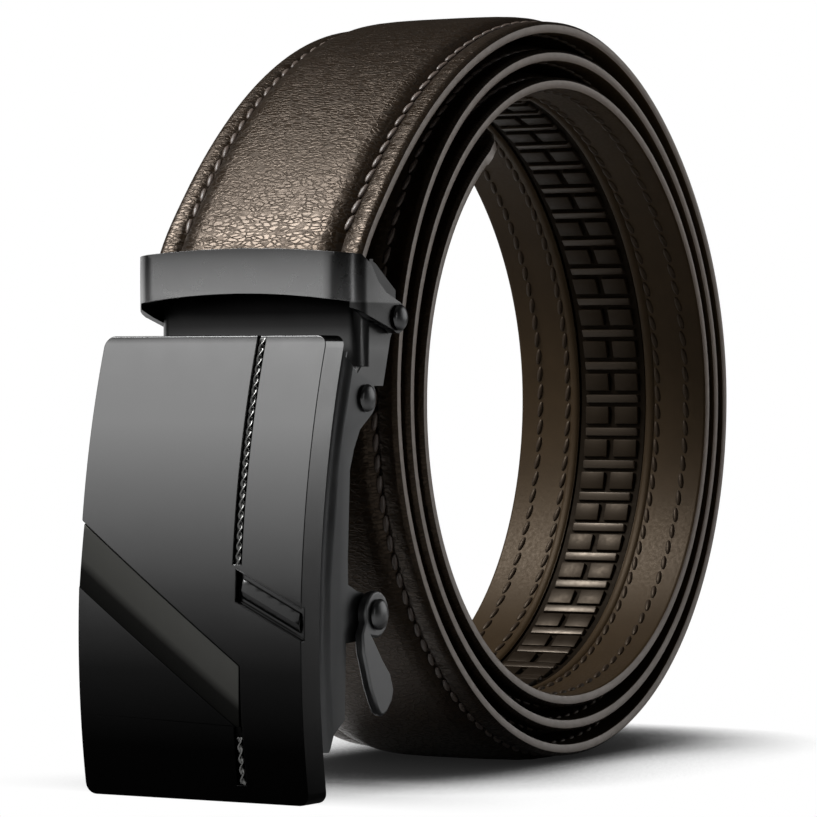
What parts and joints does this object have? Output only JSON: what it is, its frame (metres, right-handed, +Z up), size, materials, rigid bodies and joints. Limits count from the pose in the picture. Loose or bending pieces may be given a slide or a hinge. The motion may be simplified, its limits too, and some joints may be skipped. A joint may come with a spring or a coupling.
{
  "type": "ratchet belt",
  "caption": "Coiled padded leather belt with a toothed track on its back and a hinged automatic buckle with a side release lever.",
  "frame": {"origin": "on the floor, at the middle of the flattened foot under the coil's centre", "axes": "+X across the strap towards the release lever's side, +Y from the buckle to the coil's back, +Z up"},
  "size_m": [0.0421, 0.1412, 0.1166],
  "materials": {
    "leather": "dark brown pebbled grain, satin",
    "track_plastic": "dark brown moulded nylon, semi-gloss",
    "gunmetal": "satin gunmetal plating",
    "black_face": "polished black plating",
    "trim_metal": "dark twisted metal cord",
    "pin_steel": "darkened steel"
  },
  "bodies": {
    "belt": {"strap": "leather", "ratchet_track": "track_plastic", "clip_channel": "gunmetal", "clamp_jaw": "gunmetal", "jaw_pin": "pin_steel"},
    "buckle": {"buckle_body": "gunmetal", "face_plate": "black_face", "rope_trim_upper": "trim_metal", "rope_trim_lower": "trim_metal", "hinge_pin": "pin_steel"},
    "lever": {"release_lever": "gunmetal", "lever_shaft": "pin_steel", "pawl": "pin_steel"}
  },
  "joints": [
    {"name": "buckle_hinge", "type": "hinge", "parent": "belt", "child": "buckle", "pos_m": [0, -0.0663, 0.0571], "axis": [1, 0, 0], "range_deg": [-25, 12]},
    {"name": "lever_hinge", "type": "hinge", "parent": "buckle", "child": "lever", "pos_m": [0, -0.066, 0.0262], "axis": [1, 0, 0], "range_deg": [0, 25], "stiffness_Nm_per_rad": 0.01, "springref_deg": -17.19}
  ]
}
